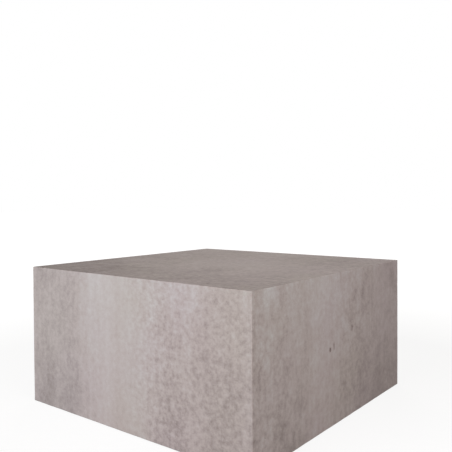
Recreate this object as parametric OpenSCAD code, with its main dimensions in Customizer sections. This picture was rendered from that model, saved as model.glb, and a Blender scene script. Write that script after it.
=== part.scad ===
// Column base block: a plain square block, cast in one piece, that a column,
// post, urn or statue stands on. Its faces are flat and its arrises are only
// just eased. The origin is the middle of the underside, with +Z up.

/* [Block] */
// Width along X, from face to face
block_w = 400; // [300:10:600]
// Depth along Y, from face to face
block_d = 400; // [300:10:600]
// Height along Z, from the underside to the bearing face
block_h = 200; // [100:10:400]

/* [Arrises] */
// Bevel leg on the four arrises round the bearing face
top_arris = 1; // [0.5:0.5:6]
// Bevel leg on the four upright arrises
side_arris = 1; // [0.5:0.5:6]
// Bevel leg on the four arrises round the underside
bottom_arris = 1.5; // [0.5:0.5:6]

/* [Hidden] */
concrete = [0.71, 0.67, 0.66];

// A rectangle centred on X with its foot at Y 0. The two corners at its foot
// are cut back by foot_cut and the two at its head by head_cut.
module eased_rectangle(width, height, foot_cut, head_cut) {
    half = width / 2;
    polygon([
        [foot_cut - half, 0],
        [half - foot_cut, 0],
        [half, foot_cut],
        [half, height - head_cut],
        [half - head_cut, height],
        [head_cut - half, height],
        [-half, height - head_cut],
        [-half, foot_cut]
    ]);
}

// The plan carried straight up: it gives the four upright arrises.
module plan_prism() {
    linear_extrude(height = block_h)
        translate([0, -block_d / 2])
            eased_rectangle(block_w, block_d, side_arris, side_arris);
}

// An elevation of the given width carried through the given depth, front to
// back: it gives the arrises at the head and the foot of two opposite faces.
module elevation_prism(width, depth) {
    translate([0, depth / 2, 0])
        rotate([90, 0, 0])
            linear_extrude(height = depth)
                eased_rectangle(width, block_h, bottom_arris, top_arris);
}

// The block is what the plan and its two elevations have in common.
module base_block() {
    color(concrete)
        intersection() {
            plan_prism();
            elevation_prism(block_w, block_d);
            rotate([0, 0, 90])
                elevation_prism(block_d, block_w);
        }
}

base_block();
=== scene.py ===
from math import cos, radians

import bpy
import numpy as np
from mathutils import Matrix, Vector, noise


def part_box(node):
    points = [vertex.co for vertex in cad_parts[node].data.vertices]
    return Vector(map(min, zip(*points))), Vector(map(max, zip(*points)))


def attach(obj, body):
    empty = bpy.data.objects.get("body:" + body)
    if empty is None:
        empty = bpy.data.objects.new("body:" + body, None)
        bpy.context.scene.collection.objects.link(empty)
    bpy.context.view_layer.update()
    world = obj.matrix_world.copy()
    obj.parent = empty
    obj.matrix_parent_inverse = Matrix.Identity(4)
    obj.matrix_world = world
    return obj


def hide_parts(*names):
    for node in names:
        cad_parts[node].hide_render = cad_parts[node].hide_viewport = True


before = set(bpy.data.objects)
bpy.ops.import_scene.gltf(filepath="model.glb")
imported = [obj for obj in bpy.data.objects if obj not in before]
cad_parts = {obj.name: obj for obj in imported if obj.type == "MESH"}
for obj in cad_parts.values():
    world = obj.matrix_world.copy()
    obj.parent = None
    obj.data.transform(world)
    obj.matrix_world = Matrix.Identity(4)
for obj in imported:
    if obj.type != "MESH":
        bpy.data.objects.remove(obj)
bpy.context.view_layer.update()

blockLow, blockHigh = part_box("base_block")
blockSize = blockHigh - blockLow
print("frame loaded, block", [round(side, 4) for side in blockSize])


# Colours are picked as they show on a screen, 0 to 255, and shaders want them linear.
def screenColour(red, green, blue):
    linear = [((c / 255 + 0.055) / 1.055) ** 2.4 for c in (red, green, blue)]
    return (*linear, 1.0)


# One node with its settings, and its inputs by name or number, each a plain value or a link.
def addNode(tree, kind, inputs=None, **settings):
    node = tree.nodes.new(kind)
    for name, value in settings.items():
        setattr(node, name, value)
    for name, value in (inputs or {}).items():
        if isinstance(value, bpy.types.NodeSocket):
            tree.links.new(value, node.inputs[name])
        else:
            node.inputs[name].default_value = value
    return node


def mathNode(tree, operation, first, second=0.0):
    return addNode(tree, "ShaderNodeMath", {0: first, 1: second}, operation=operation).outputs[0]


noiseMiddle = 0.5    # of a noise node's values, which run from 0 to 1
curveMiddle = 0.5    # of the tone and hue curves' values, at which they change nothing


# Noise as a value that swings about zero, from -1 up to a limit for the light side.
def swing(tree, place, layer):
    if layer.get("stretch", 1.0) != 1.0:
        squeeze = {"Vector": place, "Scale": (1.0, 1.0, 1.0 / layer["stretch"])}
        place = addNode(tree, "ShaderNodeMapping", squeeze).outputs["Vector"]
    cloud = addNode(tree, "ShaderNodeTexNoise",
                    {"Vector": place, "Scale": layer["scale"], "Detail": layer["detail"],
                     "Roughness": layer.get("roughness", 0.5)})
    light = layer.get("light", 1.0)
    usual = 0.2   # how far noise mostly strays from its middle
    spread = {"Value": cloud.outputs["Fac"], "From Min": noiseMiddle - usual,
              "From Max": noiseMiddle + usual * light, "To Min": -1.0, "To Max": light}
    return addNode(tree, "ShaderNodeMapRange", spread).outputs["Result"]


# Small round spots scattered through the volume: how deep in a spot a place lies, and a random
# shade from -1 to 1 that is the same all over that spot.
def spots(tree, place, layer):
    cells = addNode(tree, "ShaderNodeTexVoronoi", {"Vector": place, "Scale": layer["scale"]})
    inside = addNode(tree, "ShaderNodeMapRange",
                     {"Value": cells.outputs["Distance"], "From Min": layer["core"],
                      "From Max": layer["rim"], "To Min": 1.0, "To Max": 0.0}).outputs["Result"]
    draws = addNode(tree, "ShaderNodeSeparateColor", {0: cells.outputs["Color"]}).outputs
    held = mathNode(tree, "LESS_THAN", draws["Green"], layer["share"])
    shade = addNode(tree, "ShaderNodeMapRange", {"Value": draws["Red"], "To Min": -1.0})
    return mathNode(tree, "MULTIPLY", inside, held), shade.outputs["Result"]


# A soft curve through (place, value) pairs laid along 0 to 1, as a grey ramp.
def softCurve(tree, along, stops):
    ramp = addNode(tree, "ShaderNodeValToRGB", {"Fac": along})
    ramp.color_ramp.interpolation = "CARDINAL"
    elements = ramp.color_ramp.elements
    elements.remove(elements[1])
    for index, (position, value) in enumerate(stops):
        element = elements[0] if index == 0 else elements.new(position)
        element.position = position
        element.color = (value, value, value, 1.0)
    return ramp.outputs["Color"]


def total(tree, values):
    result = values[0]
    for value in values[1:]:
        result = mathNode(tree, "ADD", result, value)
    return result


# Small nicks in the right wall.
nicks = {
    # the middle of each, and its half sizes into the wall, along it and up it
    "marks": [
        {"at": (0.20, -0.0270, 0.1020), "reach": (0.0020, 0.0024, 0.0028)},
        {"at": (0.20, -0.0165, 0.1040), "reach": (0.0017, 0.0015, 0.0044)},
        {"at": (0.20, 0.0350, 0.1200), "reach": (0.0011, 0.0033, 0.0035)},
    ],
    "levels": -16.0,               # how much darker a nick is than the paste, painted shade in and round its hollow
    "core": 0.8,                   # where that starts and ends to fade out, in its half sizes
    "rim": 1.7,
    "ballCuts": 4,                 # subdivisions of the lump that each is cut with
    "edge": {"scale": 350.0, "detail": 2.0, "depth": 0.0022},   # how broken its outline is
}

# Tones are given in levels either side of the paste's colour.
concrete = {
    "paste": (181, 170, 167),      # the middle tone of the cast face
    "darkest": (115, 104, 101),
    "lightest": (207, 207, 207),
    "toneReach": 40,               # levels from the paste to the darkest and to the lightest
    "roughness": 0.82,
    "roughnessSwing": 0.07,
    "specular": 0.25,
    "bump": {"strength": 0.4, "depth": 0.00006, "pores": -6.0},
    "topFrom": 45.0,               # turn over the arris, in degrees, at which the top's tones take over
    "topTone": -7.5,               # levels that the top's tone differs from the walls'
    "paintedFootShade": 60.0,              # levels that a wall darkens in each metre down, painted shade for light that falls off towards the foot
    "paintedBackLight": 35.0,              # levels that the top lightens in each metre towards the back, painted light
    "drift": {"scale": 9.0, "detail": 2.0, "levels": 0.7},     # of the hue, from rosy to sandy
    "wander": {"scale": 7.0, "detail": 1.0, "reach": 0.006},   # moves the bands to and fro
    "clouds": {"scale": 20.0, "detail": 3.0, "stretch": 2.5, "levels": 4.0},
    "streaks": {"scale": 110.0, "detail": 2.0, "stretch": 14.0, "levels": 3.0},
    "blotches": {"scale": 45.0, "detail": 6.0, "roughness": 0.58, "levels": 12.0},
    "mottle": {"scale": 150.0, "detail": 6.0, "roughness": 0.66, "light": 0.75, "levels": 20.0},
    "speckle": {"scale": 700.0, "detail": 3.0, "levels": 3.0},
    # round grains of sand just under the skin, lighter and darker, and pores open in it, darkened with
    # painted shade; "share" is how many of the cells hold one, and "core" and "rim" where it starts and ends
    # to fade in a cell
    "sand": {"scale": 400.0, "core": 0.15, "rim": 0.38, "share": 1.0, "levels": 6.0},
    "pores": {"scale": 140.0, "core": 0.045, "rim": 0.085, "share": 0.22, "levels": -22.0},
    # tone round the four walls: how far round from the front left arris, as a share, and how light
    "bands": [
        (0.0, 0.48), (0.022, 0.20), (0.038, 0.32), (0.057, 0.27), (0.072, 0.60), (0.086, 0.88),
        (0.12, 0.80), (0.14, 0.75), (0.165, 0.60), (0.182, 0.37), (0.197, 0.54), (0.214, 0.28),
        (0.228, 0.34), (0.25, 0.36), (0.273, 0.56), (0.289, 0.44), (0.305, 0.54), (0.32, 0.48),
        (0.345, 0.82), (0.39, 0.56), (0.43, 0.36), (0.48, 0.42), (0.56, 0.62), (0.64, 0.40),
        (0.75, 0.60), (0.84, 0.38), (0.93, 0.55), (1.0, 0.48),
    ],
    "bandLevels": 25.0,            # levels from the foot to the head of that curve's scale
    # hue round the walls in the same way: values over the middle turn the paste rosy, or sandy
    "rosy": [
        (0.0, 0.26), (0.06, 0.32), (0.09, 0.62), (0.105, 0.70), (0.13, 0.60), (0.16, 0.74),
        (0.20, 0.76), (0.225, 0.62), (0.25, 0.60), (0.26, 0.50), (0.32, 0.50), (0.345, 0.70),
        (0.38, 0.58), (0.43, 0.50), (0.48, 0.52), (0.60, 0.45), (0.75, 0.55), (0.90, 0.45), (1.0, 0.26),
    ],
    "sandy": [
        (0.0, 0.06), (0.055, 0.08), (0.09, 0.66), (0.105, 0.82), (0.13, 0.70), (0.18, 0.66),
        (0.205, 0.80), (0.245, 0.84), (0.26, 0.48), (0.32, 0.42), (0.345, 0.64), (0.38, 0.56),
        (0.43, 0.42), (0.48, 0.42), (0.60, 0.55), (0.75, 0.45), (0.90, 0.52), (1.0, 0.06),
    ],
    "hueLevels": 5.0,              # levels from the foot to the head of those two curves' scales
    "levelShare": 0.0129,          # share of the light that one level of hue holds back
    # how strongly the fine mottle shows round the walls, and the blotches
    "mottled": [
        (0.0, 0.43), (0.07, 0.46), (0.09, 0.38), (0.13, 0.42), (0.16, 0.85), (0.20, 0.75), (0.24, 0.75),
        (0.27, 0.65), (0.34, 0.42), (0.40, 0.55), (0.46, 0.36),
        (0.56, 0.60), (0.66, 0.30), (0.78, 0.65), (0.88, 0.30), (1.0, 0.50),
    ],
    "blotched": [
        (0.0, 0.50), (0.07, 0.45), (0.09, 0.20), (0.13, 0.28), (0.16, 0.50), (0.24, 0.50),
        (0.27, 0.90), (0.34, 0.58), (0.39, 0.74), (0.46, 0.55),
        (0.56, 0.70), (0.66, 0.35), (0.78, 0.70), (0.88, 0.40), (1.0, 0.50),
    ],
    "topMottled": 0.55,            # and on the top and the underside
    "topBlotched": 0.50,
    # broad clouds at places of their own: middle, radius, levels, and what they add to the blotches
    "stains": [
        {"on": "top", "at": (-0.17, -0.17, 0.20), "radius": 0.20, "levels": -10.0, "blotched": 0.0},
        {"on": "top", "at": (0.03, -0.02, 0.20), "radius": 0.16, "levels": 10.0, "blotched": 0.0},
        {"on": "top", "at": (0.15, 0.14, 0.20), "radius": 0.17, "levels": -8.0, "blotched": 0.2},
        {"on": "top", "at": (0.03, -0.09, 0.20), "radius": 0.07, "levels": -7.0, "blotched": 0.0},
        {"on": "top", "at": (-0.13, -0.06, 0.20), "radius": 0.07, "levels": 7.0, "blotched": 0.0},
        {"on": "walls", "at": (-0.18, -0.20, 0.20), "radius": 0.06, "levels": -9.0, "blotched": 0.0},
        {"on": "walls", "at": (0.11, -0.20, 0.20), "radius": 0.05, "levels": 7.0, "blotched": 0.0},
        {"on": "walls", "at": (0.20, -0.15, 0.20), "radius": 0.05, "levels": 18.0, "blotched": 0.2},
        {"on": "walls", "at": (0.20, -0.06, 0.16), "radius": 0.04, "levels": 5.0, "blotched": 0.0},
        {"on": "walls", "at": (0.20, 0.04, 0.15), "radius": 0.07, "levels": -2.0, "blotched": 0.6},
        {"on": "walls", "at": (0.20, 0.045, 0.155), "radius": 0.045, "levels": -5.5, "blotched": 0.0},
        {"on": "walls", "at": (0.20, 0.19, 0.20), "radius": 0.06, "levels": -17.0, "blotched": 0.0},
    ],
    "ragged": 0.02,                # how far the clouds pull a stain's edge about
}


# The stains' tones at a place, and what they add to the blotches.
def stainLayers(tree, place, stains, only):
    tones = []
    blotches = []
    for stain in stains:
        away = addNode(tree, "ShaderNodeVectorMath", {0: place, 1: stain["at"]}, operation="DISTANCE")
        fade = addNode(tree, "ShaderNodeMapRange",
                       {"Value": away.outputs["Value"], "From Max": stain["radius"],
                        "To Min": 1.0, "To Max": 0.0}, interpolation_type="SMOOTHSTEP").outputs["Result"]
        fade = mathNode(tree, "MULTIPLY", fade, only[stain["on"]])
        tones.append(mathNode(tree, "MULTIPLY", fade, stain["levels"]))
        blotches.append(mathNode(tree, "MULTIPLY", fade, stain["blotched"]))
    return tones, blotches


# Painted shade that darkens the nicks in and round their hollows.
def nickShadeTones(tree, place, look):
    tones = []
    for mark in look["marks"]:
        offset = addNode(tree, "ShaderNodeVectorMath", {0: place, 1: mark["at"]}, operation="SUBTRACT")
        scaled = addNode(tree, "ShaderNodeVectorMath", {0: offset.outputs[0], 1: mark["reach"]},
                         operation="DIVIDE")
        away = addNode(tree, "ShaderNodeVectorMath", {0: scaled.outputs[0]}, operation="LENGTH")
        fade = {"Value": away.outputs["Value"], "From Min": look["core"], "From Max": look["rim"],
                "To Min": look["levels"], "To Max": 0.0}
        tones.append(addNode(tree, "ShaderNodeMapRange", fade).outputs["Result"])
    return tones


# The paste's colour, made darker or lighter by a number of levels.
def pasteColour(tree, levels, look):
    reach = look["toneReach"]
    tone = addNode(tree, "ShaderNodeMapRange", {"Value": levels, "From Min": -reach, "From Max": reach})
    ramp = addNode(tree, "ShaderNodeValToRGB", {"Fac": tone.outputs["Result"]})
    stops = ramp.color_ramp.elements
    stops.new((stops[0].position + stops[1].position) / 2)
    # coloured once all three are there, because a new stop shifts the ones after it
    for stop, shade in zip(stops, ("darkest", "paste", "lightest")):
        stop.color = screenColour(*look[shade])
    return ramp.outputs["Color"]


# Holds some green back to turn a colour rosy, and some blue back to turn it sandy.
def hueTurned(tree, colour, around, onWall, drift, look):
    passed = {}
    for name, way in (("rosy", -1), ("sandy", 1)):
        curve = mathNode(tree, "SUBTRACT", softCurve(tree, around, look[name]), curveMiddle)
        held = mathNode(tree, "MULTIPLY", mathNode(tree, "MULTIPLY", curve, look["hueLevels"]), onWall)
        strayed = mathNode(tree, "MULTIPLY", drift, way * look["drift"]["levels"])
        held = mathNode(tree, "MULTIPLY", mathNode(tree, "ADD", held, strayed), look["levelShare"])
        passed[name] = mathNode(tree, "SUBTRACT", 1.0, held)
    tint = addNode(tree, "ShaderNodeCombineXYZ", {"X": 1.0, "Y": passed["rosy"], "Z": passed["sandy"]})
    return addNode(tree, "ShaderNodeVectorMath", {0: colour, 1: tint.outputs[0]},
                   operation="MULTIPLY").outputs[0]


def castConcrete(look, nickLook):
    material = bpy.data.materials.new("fair_faced_concrete")
    material.use_nodes = True
    tree = material.node_tree
    shader = tree.nodes["Principled BSDF"]
    place = addNode(tree, "ShaderNodeTexCoord").outputs["Object"]
    axes = addNode(tree, "ShaderNodeSeparateXYZ", {0: place}).outputs
    wallPlace = addNode(tree, "ShaderNodeUVMap", uv_map="wallMap").outputs["UV"]
    girth = addNode(tree, "ShaderNodeSeparateXYZ", {0: wallPlace}).outputs["X"]
    normal = addNode(tree, "ShaderNodeNewGeometry").outputs["Normal"]
    facingUp = addNode(tree, "ShaderNodeSeparateXYZ", {0: normal}).outputs["Z"]
    onWall = mathNode(tree, "LESS_THAN", mathNode(tree, "ABSOLUTE", facingUp), cos(radians(look["topFrom"])))
    onTop = mathNode(tree, "SUBTRACT", 1.0, onWall)
    layers = {name: swing(tree, place, look[name])
              for name in ("drift", "wander", "clouds", "streaks", "blotches", "mottle", "speckle")}

    # stains have ragged edges, because the place they are measured from wanders with the clouds
    shift = addNode(tree, "ShaderNodeVectorMath",
                    {0: [look["ragged"]] * 3, "Scale": layers["clouds"]}, operation="SCALE").outputs[0]
    ragged = addNode(tree, "ShaderNodeVectorMath", {0: place, 1: shift}).outputs[0]
    stained, stainBlotches = stainLayers(tree, ragged, look["stains"], {"walls": onWall, "top": onTop})

    astray = mathNode(tree, "MULTIPLY", layers["wander"], look["wander"]["reach"])
    around = mathNode(tree, "ADD", girth, astray)
    bands = mathNode(tree, "SUBTRACT", softCurve(tree, around, look["bands"]), curveMiddle)
    # painted shade: the walls' tone darkens towards the foot for light that falls off downwards, added to
    # the bands round them
    above = mathNode(tree, "SUBTRACT", axes["Z"], blockSize.z / 2)
    wallToneAndShade = mathNode(tree, "ADD", mathNode(tree, "MULTIPLY", bands, look["bandLevels"]),
                        mathNode(tree, "MULTIPLY", above, look["paintedFootShade"]))
    # painted light: the top's tone lightens towards the back for light that falls more strongly there
    topTone = mathNode(tree, "ADD", mathNode(tree, "MULTIPLY", axes["Y"], look["paintedBackLight"]),
                       look["topTone"])
    strength = {}
    for name, curve, flat, extra in (("mottle", "mottled", "topMottled", []),
                                     ("blotches", "blotched", "topBlotched", stainBlotches)):
        onWalls = mathNode(tree, "MULTIPLY", softCurve(tree, around, look[curve]), onWall)
        strength[name] = total(tree, [onWalls, mathNode(tree, "MULTIPLY", onTop, look[flat]), *extra])

    tones = [mathNode(tree, "MULTIPLY", wallToneAndShade, onWall), mathNode(tree, "MULTIPLY", topTone, onTop)]
    tones += stained
    for name in ("clouds", "streaks", "speckle"):
        tones.append(mathNode(tree, "MULTIPLY", layers[name], look[name]["levels"]))
    for name in ("blotches", "mottle"):
        strong = mathNode(tree, "MULTIPLY", layers[name], strength[name])
        tones.append(mathNode(tree, "MULTIPLY", strong, look[name]["levels"]))
    grain, shade = spots(tree, place, look["sand"])
    grained = mathNode(tree, "MULTIPLY", grain, shade)
    # painted shade: the pores are darkened to stand in for the shade inside them, beside the dent they make
    # in the bump
    pore = mathNode(tree, "MULTIPLY", spots(tree, place, look["pores"])[0], strength["mottle"])
    tones.append(mathNode(tree, "MULTIPLY", grained, look["sand"]["levels"]))
    tones.append(mathNode(tree, "MULTIPLY", pore, look["pores"]["levels"]))
    tones += nickShadeTones(tree, place, nickLook)
    colour = pasteColour(tree, total(tree, tones), look)
    colour = hueTurned(tree, colour, around, onWall, layers["drift"], look)
    tree.links.new(colour, shader.inputs["Base Color"])

    rough = addNode(tree, "ShaderNodeMapRange",
                    {"Value": layers["blotches"], "From Min": -1.0, "From Max": 1.0,
                     "To Min": look["roughness"] - look["roughnessSwing"],
                     "To Max": look["roughness"] + look["roughnessSwing"]})
    tree.links.new(rough.outputs["Result"], shader.inputs["Roughness"])
    shader.inputs["Specular IOR Level"].default_value = look["specular"]
    relief = look["bump"]
    height = total(tree, [layers["mottle"], layers["speckle"], grained,
                          mathNode(tree, "MULTIPLY", pore, relief["pores"])])
    bump = addNode(tree, "ShaderNodeBump",
                   {"Strength": relief["strength"], "Distance": relief["depth"], "Height": height})
    tree.links.new(bump.outputs["Normal"], shader.inputs["Normal"])
    return material


concreteSkin = castConcrete(concrete, nicks)
print("concrete mixed")


block = {
    "name": "base_block_cast",
    "arris": 0.0010,           # radius that the top and upright arrises are eased to
    "footArris": 0.0015,       # the same round the underside
    "footRise": 0.030,         # height over which one radius becomes the other
    "arrisWander": 0.30,       # share by which the radius comes and goes along an arris
    "hold": 0.0004,            # flat strip that keeps the faces true beside the easing
    "strip": 0.003,            # strip along each arris that the grid of the faces keeps clear of
    "cell": 0.004,             # grid spacing on the faces
    "faceWave": 0.00012,       # depth of the slow unevenness of the faces
    "footWave": 0.00035,       # and of the underside, as struck off
    "arrisGrain": 45.0,        # how closely the waves of each follow on, in waves a metre
    "faceGrain": 9.0,
    "footGrain": 60.0,
    "smoothUnder": 35.0,       # turn from face to face, in degrees, up to which they shade as one
}
# Each arris is turned in these steps, from its outermost line to the flat.
arrisTurn = (1.0, 2 / 3, 1 / 3, 0.0)


# Grid stations along one side of the block: where each lies, which arris it belongs to, how far
# it is turned towards that arris and how far in it is set.
def gridStations(length, shape):
    reach = length / 2 - shape["strip"]
    inner = np.linspace(-reach, reach, round(2 * reach / shape["cell"]) + 1)
    ends = len(arrisTurn) + 1
    turn = list(arrisTurn) + [0.0]
    inset = [0.0] * len(arrisTurn) + [shape["hold"]]
    place = np.concatenate([np.zeros(ends), inner, np.zeros(ends)])
    side = np.concatenate([-np.ones(ends), np.zeros(len(inner)), np.ones(ends)])
    turned = np.concatenate([turn, np.zeros(len(inner)), turn[::-1]])
    insets = np.concatenate([inset, np.zeros(len(inner)), inset[::-1]])
    return place, side, turned, insets


def sheetQuads(numbers, flipped):
    corners = [numbers[:-1, :-1], numbers[1:, :-1], numbers[1:, 1:], numbers[:-1, 1:]]
    if flipped:
        corners.reverse()
    return np.stack(corners, axis=-1).reshape(-1, 4)


# The closed skin of the block, as a grid on its six faces with eased arrises.
def blockSkin(shape, low, high):
    size = high - low
    centre = (low + high) / 2
    axes = [gridStations(length, shape) for length in size]
    counts = [len(axis[0]) for axis in axes]
    grid = np.indices(counts)
    onSkin = np.zeros(counts, bool)
    for axis in range(3):
        onSkin |= (grid[axis] == 0) | (grid[axis] == counts[axis] - 1)
    numbers = np.full(counts, -1)
    numbers[onSkin] = np.arange(onSkin.sum())
    steps = [grid[axis][onSkin] for axis in range(3)]
    place, side, turned, inset = (
        np.stack([axes[axis][row][steps[axis]] for axis in range(3)], axis=-1) for row in range(4))

    half = np.array(size) / 2
    outward = side * turned
    outward /= np.linalg.norm(outward, axis=1, keepdims=True)
    rough = np.where(side == 0, place, side * half)
    height = rough[:, 2] + half[2]
    footShare = np.clip(1 - height / shape["footRise"], 0, 1)
    radius = shape["arris"] + (shape["footArris"] - shape["arris"]) * footShare
    along = np.array([noise.noise(Vector(point) * shape["arrisGrain"]) for point in rough])
    radius *= 1 + shape["arrisWander"] * along
    inner = np.where(side == 0, place, side * (half - radius[:, None] - inset))
    wave = np.array([noise.noise(Vector(point) * shape["faceGrain"]) for point in rough])
    foot = np.array([noise.noise(Vector(point) * shape["footGrain"]) for point in rough])
    under = np.clip(-outward[:, 2], 0, 1)
    depth = shape["faceWave"] * (0.5 + 0.5 * wave) + under * shape["footWave"] * (0.5 + 0.5 * foot)
    points = inner + outward * (radius - np.clip(depth, 0, None))[:, None] + np.array(centre)

    quads = np.concatenate([
        sheetQuads(numbers[:, :, -1], False),
        sheetQuads(numbers[:, :, 0], True),
        sheetQuads(numbers[-1, :, :], False),
        sheetQuads(numbers[0, :, :], True),
        sheetQuads(numbers[:, -1, :], True),
        sheetQuads(numbers[:, 0, :], False),
    ])
    mesh = bpy.data.meshes.new(shape["name"])
    mesh.from_pydata(points.tolist(), [], quads.tolist())
    mesh.update()
    return mesh


pinholes = {
    "spacing": 0.022,      # least distance between two
    "perSquareMetre": 110.0,   # how many are tried
    "smallest": 0.00025,   # radius
    "largest": 0.0011,
    "fewLarge": 3.0,       # the higher, the more of them are small
    "outOfRound": 0.2,     # share by which a hole's three radii vary
    "depth": 0.9,          # as a share of its radius
    "ballCuts": 2,         # subdivisions of the ball that cuts them
    "askew": (0.31, 0.17, 0.0),   # its turn, so that no edge of it lies in a face
    "margin": 0.006,       # clear strip along the arrises
    "weld": 0.000002,      # points nearer than this are made one after the cutting
    "seed": 11,
}


# Cuts small round holes, scattered over the open faces, and the nicks out of a closed mesh.
def pinholeTree(holes, nickLook):
    tree = bpy.data.node_groups.new("pinholes", "GeometryNodeTree")
    sockets = tree.interface
    sockets.new_socket("Geometry", in_out="INPUT", socket_type="NodeSocketGeometry")
    for name, kind in (("Spacing", "NodeSocketFloat"), ("Density", "NodeSocketFloat"),
                       ("Smallest", "NodeSocketFloat"), ("Largest", "NodeSocketFloat"),
                       ("Weld", "NodeSocketFloat"), ("Seed", "NodeSocketInt"),
                       ("Material", "NodeSocketMaterial")):
        sockets.new_socket(name, in_out="INPUT", socket_type=kind)
    sockets.new_socket("Geometry", in_out="OUTPUT", socket_type="NodeSocketGeometry")
    given = tree.nodes.new("NodeGroupInput").outputs
    isOpen = addNode(tree, "GeometryNodeInputNamedAttribute", {"Name": "openFace"}, data_type="BOOLEAN")
    scatter = addNode(tree, "GeometryNodeDistributePointsOnFaces",
                      {"Mesh": given["Geometry"], "Selection": isOpen.outputs["Attribute"],
                       "Distance Min": given["Spacing"], "Density Max": given["Density"],
                       "Seed": given["Seed"]}, distribute_method="POISSON")
    chance = addNode(tree, "FunctionNodeRandomValue", {"Seed": given["Seed"]}, data_type="FLOAT")
    skewed = mathNode(tree, "POWER", chance.outputs[1], holes["fewLarge"])
    radius = addNode(tree, "ShaderNodeMapRange",
                     {"Value": skewed, "To Min": given["Smallest"], "To Max": given["Largest"]})
    slim = 1 - holes["outOfRound"]
    wide = 1 + holes["outOfRound"]
    shape = addNode(tree, "FunctionNodeRandomValue",
                    {0: (slim, slim, slim * holes["depth"]), 1: (wide, wide, wide * holes["depth"]),
                     "Seed": given["Seed"]}, data_type="FLOAT_VECTOR")
    scale = addNode(tree, "ShaderNodeVectorMath",
                    {0: shape.outputs[0], "Scale": radius.outputs["Result"]}, operation="SCALE")
    ball = addNode(tree, "GeometryNodeMeshIcoSphere", {"Radius": 1.0, "Subdivisions": holes["ballCuts"]})
    ball = addNode(tree, "GeometryNodeTransform",
                   {"Geometry": ball.outputs["Mesh"], "Rotation": holes["askew"]})
    pits = addNode(tree, "GeometryNodeInstanceOnPoints",
                   {"Points": scatter.outputs["Points"], "Instance": ball.outputs[0],
                    "Rotation": scatter.outputs["Rotation"], "Scale": scale.outputs[0]})
    cut = addNode(tree, "GeometryNodeMeshBoolean",
                  {0: given["Geometry"], 1: pits.outputs[0]}, operation="DIFFERENCE", solver="MANIFOLD")
    lump = addNode(tree, "GeometryNodeMeshIcoSphere",
                   {"Radius": 1.0, "Subdivisions": nickLook["ballCuts"]})
    edge = nickLook["edge"]
    broken = addNode(tree, "ShaderNodeTexNoise", {"Scale": edge["scale"], "Detail": edge["detail"]})
    aside = addNode(tree, "ShaderNodeVectorMath", {0: broken.outputs["Color"], 1: [noiseMiddle] * 3},
                    operation="SUBTRACT")
    aside = addNode(tree, "ShaderNodeVectorMath", {0: aside.outputs[0], "Scale": edge["depth"]},
                    operation="SCALE")
    for mark in nickLook["marks"]:
        nick = addNode(tree, "GeometryNodeTransform",
                       {"Geometry": lump.outputs["Mesh"], "Translation": mark["at"], "Scale": mark["reach"]})
        nick = addNode(tree, "GeometryNodeSetPosition",
                       {"Geometry": nick.outputs[0], "Offset": aside.outputs[0]})
        tree.links.new(nick.outputs[0], cut.inputs[1])
    welded = addNode(tree, "GeometryNodeMergeByDistance",
                     {"Geometry": cut.outputs[0], "Distance": given["Weld"]})
    whole = addNode(tree, "GeometryNodeRealizeInstances", {0: welded.outputs[0]})
    dressed = addNode(tree, "GeometryNodeSetMaterial",
                      {"Geometry": whole.outputs[0], "Material": given["Material"]})
    addNode(tree, "NodeGroupOutput", {0: dressed.outputs[0]})
    return tree


# Runs a tree on a mesh, which it uses up, and returns what comes out as a plain mesh.
def grown(mesh, tree, values):
    carrier = bpy.data.objects.new("carrier", mesh)
    bpy.context.scene.collection.objects.link(carrier)
    modifier = carrier.modifiers.new("grow", "NODES")
    modifier.node_group = tree
    for socket in tree.interface.items_tree:
        if socket.in_out == "INPUT" and socket.name in values:
            modifier[socket.identifier] = values[socket.name]
    evaluated = carrier.evaluated_get(bpy.context.evaluated_depsgraph_get())
    result = bpy.data.meshes.new_from_object(evaluated)
    bpy.data.objects.remove(carrier)
    bpy.data.meshes.remove(mesh)
    return result


# Marks the faces that lie at least the margin in from every arris, the underside left out.
def markOpenFaces(mesh, low, high, margin):
    facingDown = -0.5   # the underside's faces have normals that lie lower than this
    field = mesh.attributes.new("openFace", "BOOLEAN", "FACE")
    for face in mesh.polygons:
        near = sum(spot - side < margin for spot, side in zip(face.center, low))
        near += sum(side - spot < margin for spot, side in zip(face.center, high))
        field.data[face.index].value = near == 1 and face.normal.z > facingDown


# Two maps, both laid flat on whichever side of the block a polygon belongs to: one with the six
# sides apart for baking, one that runs round the four walls for the bands.
def layMaps(mesh, low, high):
    size = high - low
    gap = 0.012   # clear strip between the sides on the sheet
    # where the columns and rows of sides start on the sheet, and how wide it has to be
    column = (gap, size.x + 2 * gap)
    row = (gap, size.y + 2 * gap, size.y + size.z + 3 * gap)
    sheet = max(2 * size.x + 3 * gap, size.y + 2 * size.z + 4 * gap)
    girth = 2 * (size.x + size.y)
    # the axis that a side faces and which way, the axis across it and which way, the axis up it,
    # its corner on the sheet, and how far round the walls it starts
    sides = [
        (1, -1, 0, 1, 2, (column[1], row[2]), 0.0),
        (0, 1, 1, 1, 2, (column[1], row[1]), size.x),
        (1, 1, 0, -1, 2, (column[0], row[2]), size.x + size.y),
        (0, -1, 1, -1, 2, (column[0], row[1]), 2 * size.x + size.y),
        (2, 1, 0, 1, 1, (column[0], row[0]), 0.0),
        (2, -1, 0, -1, 1, (column[1], row[0]), 0.0),
    ]
    bake = mesh.uv_layers.new(name="OFBake").data
    walls = mesh.uv_layers.new(name="wallMap").data
    for face in mesh.polygons:
        reach = [abs(face.center[axis] - (high if way > 0 else low)[axis]) for axis, way, *_ in sides]
        axis, way, across, turned, up, corner, start = sides[reach.index(min(reach))]
        for loop in face.loop_indices:
            spot = mesh.vertices[mesh.loops[loop].vertex_index].co
            run = spot[across] - low[across] if turned > 0 else high[across] - spot[across]
            rise = spot[up] - low[up]
            bake[loop].uv = ((corner[0] + run) / sheet, (corner[1] + rise) / sheet)
            walls[loop].uv = ((start + run) / girth, rise / size.z)


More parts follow.
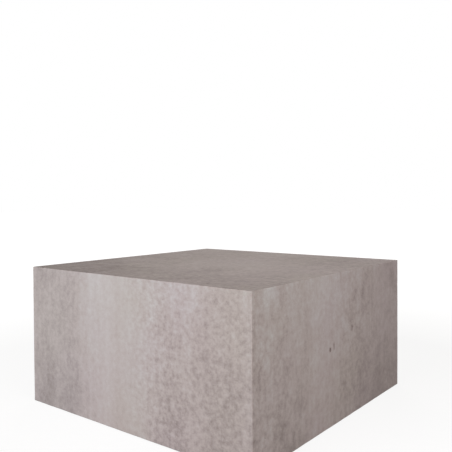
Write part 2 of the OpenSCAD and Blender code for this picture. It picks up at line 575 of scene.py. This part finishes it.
def castBlock(shape, holes, nickLook, skinMaterial):
    skin = blockSkin(shape, blockLow, blockHigh)
    markOpenFaces(skin, blockLow, blockHigh, holes["margin"])
    mesh = grown(skin, pinholeTree(holes, nickLook), {
        "Spacing": holes["spacing"],
        "Density": holes["perSquareMetre"],
        "Smallest": holes["smallest"],
        "Largest": holes["largest"],
        "Weld": holes["weld"],
        "Seed": holes["seed"],
        "Material": skinMaterial,
    })
    mesh.name = shape["name"]
    mesh.materials.clear()   # the cutting leaves an empty slot beside the concrete's
    mesh.materials.append(skinMaterial)
    for face in mesh.polygons:
        face.use_smooth = True
        face.material_index = 0
    mesh.attributes.remove(mesh.attributes["openFace"])
    mesh.set_sharp_from_angle(angle=radians(shape["smoothUnder"]))
    layMaps(mesh, blockLow, blockHigh)
    piece = bpy.data.objects.new(shape["name"], mesh)
    bpy.context.scene.collection.objects.link(piece)
    return piece


castPiece = castBlock(block, pinholes, nicks, concreteSkin)
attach(castPiece, "root")
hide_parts("base_block")
castPiece.data.calc_loop_triangles()
print("block cast,", len(castPiece.data.loop_triangles), "triangles")


studio = {
    "floorSize": 30.0,
    "floorColour": (0.30, 0.30, 0.30, 1.0),   # that it throws light back with
    "floorShade": (0.19, 0.19, 0.19, 1.0),    # that the camera sees light and shadow on it with
    "glowNear": 0.85,          # what the camera sees the floor give off beside the block
    "glowFar": 1.0,            # and away from it, where it runs into the white behind
    "glowFrom": 0.5,           # distances from the middle of the block between which it changes
    "glowTo": 1.3,
    "skyStrength": 0.192,                    # of the light that the sky gives
    "skyColour": (1.0, 0.950, 0.880, 1.0),   # and its colour; seen straight on it is plain white
}


# 1 for what the camera sees straight on, in a gloss or through glass, and 0 for what lights things.
def seenRay(tree):
    path = addNode(tree, "ShaderNodeLightPath").outputs
    seen = mathNode(tree, "MAXIMUM", path["Is Camera Ray"], path["Is Glossy Ray"])
    return mathNode(tree, "MAXIMUM", seen, path["Is Transmission Ray"])


def whiteFloor(look):
    half = look["floorSize"] / 2
    mesh = bpy.data.meshes.new("floor")
    mesh.from_pydata([(-half, -half, 0), (half, -half, 0), (half, half, 0), (-half, half, 0)],
                     [], [(0, 1, 2, 3)])
    material = bpy.data.materials.new("studio_floor")
    material.use_nodes = True
    tree = material.node_tree
    tree.nodes.clear()
    matt = addNode(tree, "ShaderNodeBsdfDiffuse", {"Color": look["floorColour"]}).outputs[0]
    place = addNode(tree, "ShaderNodeTexCoord").outputs["Object"]
    away = addNode(tree, "ShaderNodeVectorMath", {0: place}, operation="LENGTH").outputs["Value"]
    strength = addNode(tree, "ShaderNodeMapRange",
                       {"Value": away, "From Min": look["glowFrom"], "From Max": look["glowTo"],
                        "To Min": look["glowNear"], "To Max": look["glowFar"]}).outputs["Result"]
    glow = addNode(tree, "ShaderNodeEmission", {"Strength": strength}).outputs[0]
    shade = addNode(tree, "ShaderNodeBsdfDiffuse", {"Color": look["floorShade"]}).outputs[0]
    shown = addNode(tree, "ShaderNodeAddShader", {0: shade, 1: glow}).outputs[0]
    mixed = addNode(tree, "ShaderNodeMixShader", {0: seenRay(tree), 1: matt, 2: shown}).outputs[0]
    addNode(tree, "ShaderNodeOutputMaterial", {"Surface": mixed})
    mesh.materials.append(material)
    floor = bpy.data.objects.new("floor", mesh)
    bpy.context.scene.collection.objects.link(floor)
    return floor


def whiteSky(look):
    world = bpy.data.worlds.new("studio_sky")
    bpy.context.scene.world = world
    world.use_nodes = True
    tree = world.node_tree
    tree.nodes.clear()
    seen = seenRay(tree)
    strength = addNode(tree, "ShaderNodeMapRange",
                       {"Value": seen, "To Min": look["skyStrength"], "To Max": 1.0}).outputs["Result"]
    white = (1.0, 1.0, 1.0, 1.0)
    tint = addNode(tree, "ShaderNodeMix", {"Factor": seen, "A": look["skyColour"], "B": white},
                   data_type="RGBA")
    sky = addNode(tree, "ShaderNodeBackground", {"Color": tint.outputs["Result"], "Strength": strength})
    addNode(tree, "ShaderNodeOutputWorld", {"Surface": sky.outputs[0]})


# Each panel: where it hangs, how wide it is, its power in watts and its colour. All face the block.
panels = {
    "key_panel": {"place": (-0.6, -2.35, 0.92), "width": 1.8, "power": 52.7, "colour": (0.961, 0.973, 1.0)},
    "side_panel": {"place": (1.0, -0.28, 0.52), "width": 0.8, "power": 5.29, "colour": (1.0, 0.953, 0.945)},
    "back_panel": {"place": (-1.3, 1.9, 1.2), "width": 1.4, "power": 11.8, "colour": (1.0, 0.940, 0.855)},
}


def hangPanels(lamps):
    target = (blockLow + blockHigh) / 2
    for name, look in lamps.items():
        lamp = bpy.data.lights.new(name, "AREA")
        lamp.shape = "SQUARE"
        lamp.size = look["width"]
        lamp.energy = look["power"]
        lamp.color = look["colour"]
        holder = bpy.data.objects.new(name, lamp)
        holder.location = look["place"]
        holder.visible_camera = False
        holder.rotation_euler = (target - holder.location).to_track_quat("-Z", "Y").to_euler()
        bpy.context.scene.collection.objects.link(holder)


# The camera stands just above the level of the top, off the nearest upright arris. Distances are
# shares of the block's width, seen along the camera's heading.
viewpoint = {
    "heading": 38.237,    # turned left from square to the front face, in degrees
    "tilt": 1.12,         # looking down
    "roll": -0.327,
    "lens": 45.98,        # focal length in millimetres
    "drop": 0.0288,       # how far the lens is shifted down, as a share of the frame
    "back": 1.5205,       # from the near top corner
    "left": 0.0671,
    "above": 0.2367,
}


def placeCamera(look):
    heading = Matrix.Rotation(radians(look["heading"]), 3, "Z")
    corner = Vector((blockHigh.x, blockLow.y, blockHigh.z))
    offset = heading @ Vector((-look["left"], -look["back"], look["above"])) * blockSize.x
    turn = (heading @ Matrix.Rotation(radians(90 - look["tilt"]), 3, "X")
            @ Matrix.Rotation(radians(look["roll"]), 3, "Z"))
    data = bpy.data.cameras.new("camera")
    data.lens = look["lens"]
    data.shift_y = -look["drop"]
    camera = bpy.data.objects.new("camera", data)
    camera.location = corner + offset
    camera.rotation_euler = turn.to_euler()
    bpy.context.scene.collection.objects.link(camera)
    bpy.context.scene.camera = camera


whiteFloor(studio)
whiteSky(studio)
hangPanels(panels)
placeCamera(viewpoint)
bpy.context.scene.view_settings.view_transform = "Standard"
print("studio set")
